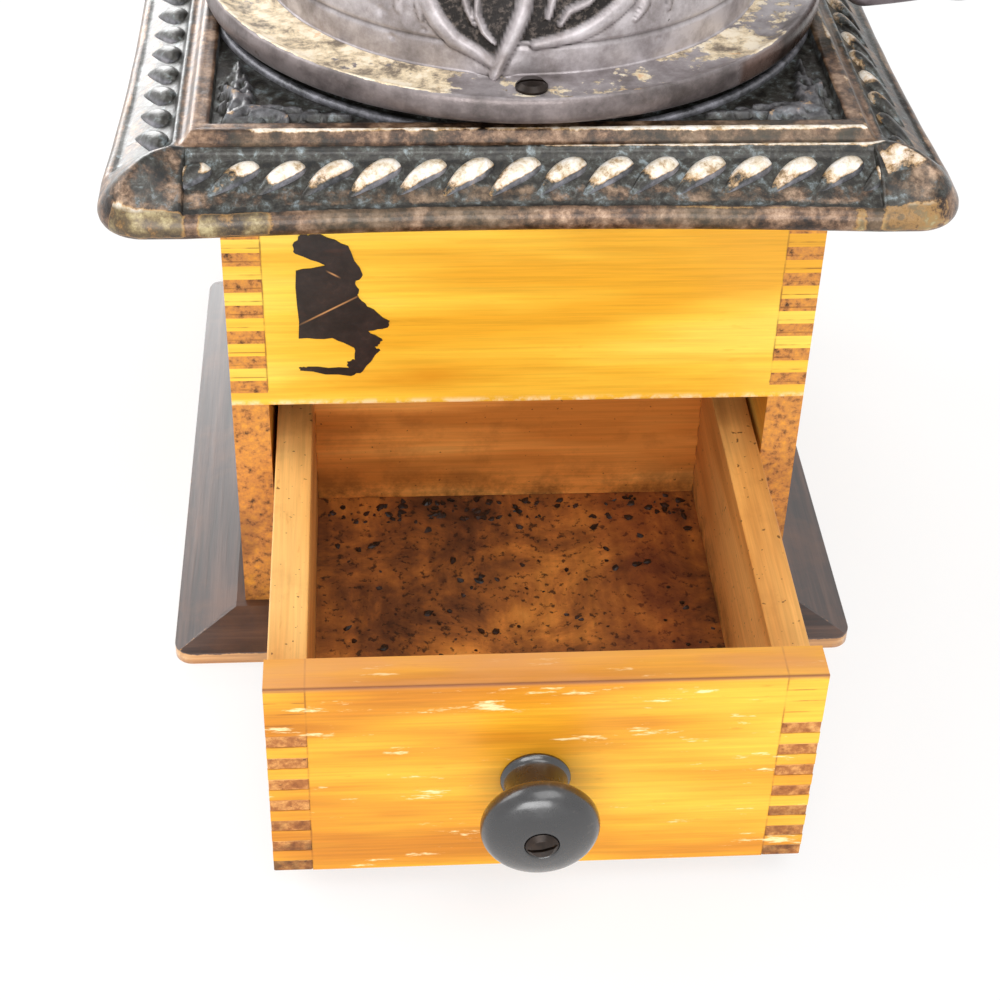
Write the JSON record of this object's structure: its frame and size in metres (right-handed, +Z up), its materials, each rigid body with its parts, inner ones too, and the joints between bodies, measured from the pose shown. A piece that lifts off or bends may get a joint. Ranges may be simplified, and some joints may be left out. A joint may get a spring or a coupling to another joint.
{
  "type": "hand crank coffee grinder",
  "caption": "Box coffee mill: finger-jointed wooden case with a drawer, ornate cast top, domed hopper with a swivel lid, and a cranked handle driving conical burrs.",
  "frame": {"origin": "centre of the base board's underside, on the spindle's axis", "axes": "+Z up along the spindle, -Y out of the drawer's front, +X to the right seen from the front"},
  "size_m": [0.229, 0.2957, 0.2355],
  "materials": {
    "base_wood": "dark stained hardwood, worn at the edges",
    "box_wood": "orange-yellow varnished softwood",
    "drawer_wood": "orange-yellow varnished softwood",
    "stained_floor": "coffee-stained board",
    "patinated_top": "dark bronze-green patina with worn gilt crests",
    "hopper_iron": "grey cast iron with flaked cream paint on the flange",
    "works_iron": "bare cast iron",
    "arm_iron": "brown-grey worn cast iron",
    "bush_brass": "aged brass",
    "steel_screws": "dull steel",
    "rusty_screws": "brown rusted steel",
    "spindle_steel": "turned steel",
    "torn_paper": "blank torn black paper",
    "black_knob": "gloss black paint on turned wood",
    "grip_wood": "dark turned wood"
  },
  "bodies": {
    "case": {"base_board": "base_wood", "base_screws": "steel_screws", "side_left": "box_wood", "side_right": "box_wood", "front_rail": "box_wood", "back_panel": "box_wood", "label_remnant": "torn_paper", "top_plate": "patinated_top", "hopper_dome": "hopper_iron", "hopper_screws": "rusty_screws", "upper_bush": "bush_brass", "lid_ring": "steel_screws", "outer_burr": "works_iron", "burr_bolts": "steel_screws", "bridge": "works_iron"},
    "drawer": {"drawer_front": "drawer_wood", "drawer_side_left": "drawer_wood", "drawer_side_right": "drawer_wood", "drawer_back": "drawer_wood", "drawer_bottom": "stained_floor", "drawer_knob": "black_knob", "drawer_knob_screw": "rusty_screws"},
    "lid": {"hopper_lid": "hopper_iron", "lid_button": "steel_screws"},
    "adjuster": {"adjuster_wheel": "bush_brass", "adjuster_ring": "steel_screws"},
    "thrust": {"thrust_screw": "spindle_steel"},
    "crank": {"spindle": "spindle_steel", "inner_burr": "works_iron", "crank_arm": "arm_iron", "crank_washer": "steel_screws", "crank_nut": "rusty_screws", "grip_rivet": "spindle_steel"},
    "grip": {"crank_grip": "grip_wood"}
  },
  "joints": [
    {"name": "drawer_slide", "type": "slide", "parent": "case", "child": "drawer", "axis": [0, -1, 0], "range_m": [-0.097, 0.02]},
    {"name": "lid_turn", "type": "hinge", "parent": "case", "child": "lid", "pos_m": [0, 0, 0.2155], "axis": [0, 0, 1], "range_deg": [0, 115]},
    {"name": "adjuster_turn", "type": "hinge", "parent": "case", "child": "adjuster", "pos_m": [0, 0, 0.0917], "axis": [0, 0, 1], "range_deg": [0, 360]},
    {"name": "thrust_rise", "type": "slide", "parent": "case", "child": "thrust", "axis": [0, 0, 1], "range_m": [0, 0.001]},
    {"name": "crank_turn", "type": "hinge", "parent": "thrust", "child": "crank", "pos_m": [0, 0, 0.11], "axis": [0, 0, 1], "continuous": true},
    {"name": "grip_spin", "type": "hinge", "parent": "crank", "child": "grip", "pos_m": [0.116, -0.01, 0.19], "axis": [0, 0, 1], "continuous": true}
  ],
  "couplings": [
    {"joint": "adjuster_turn", "follows": "thrust_rise", "rad_per_m": 6283.2}
  ]
}
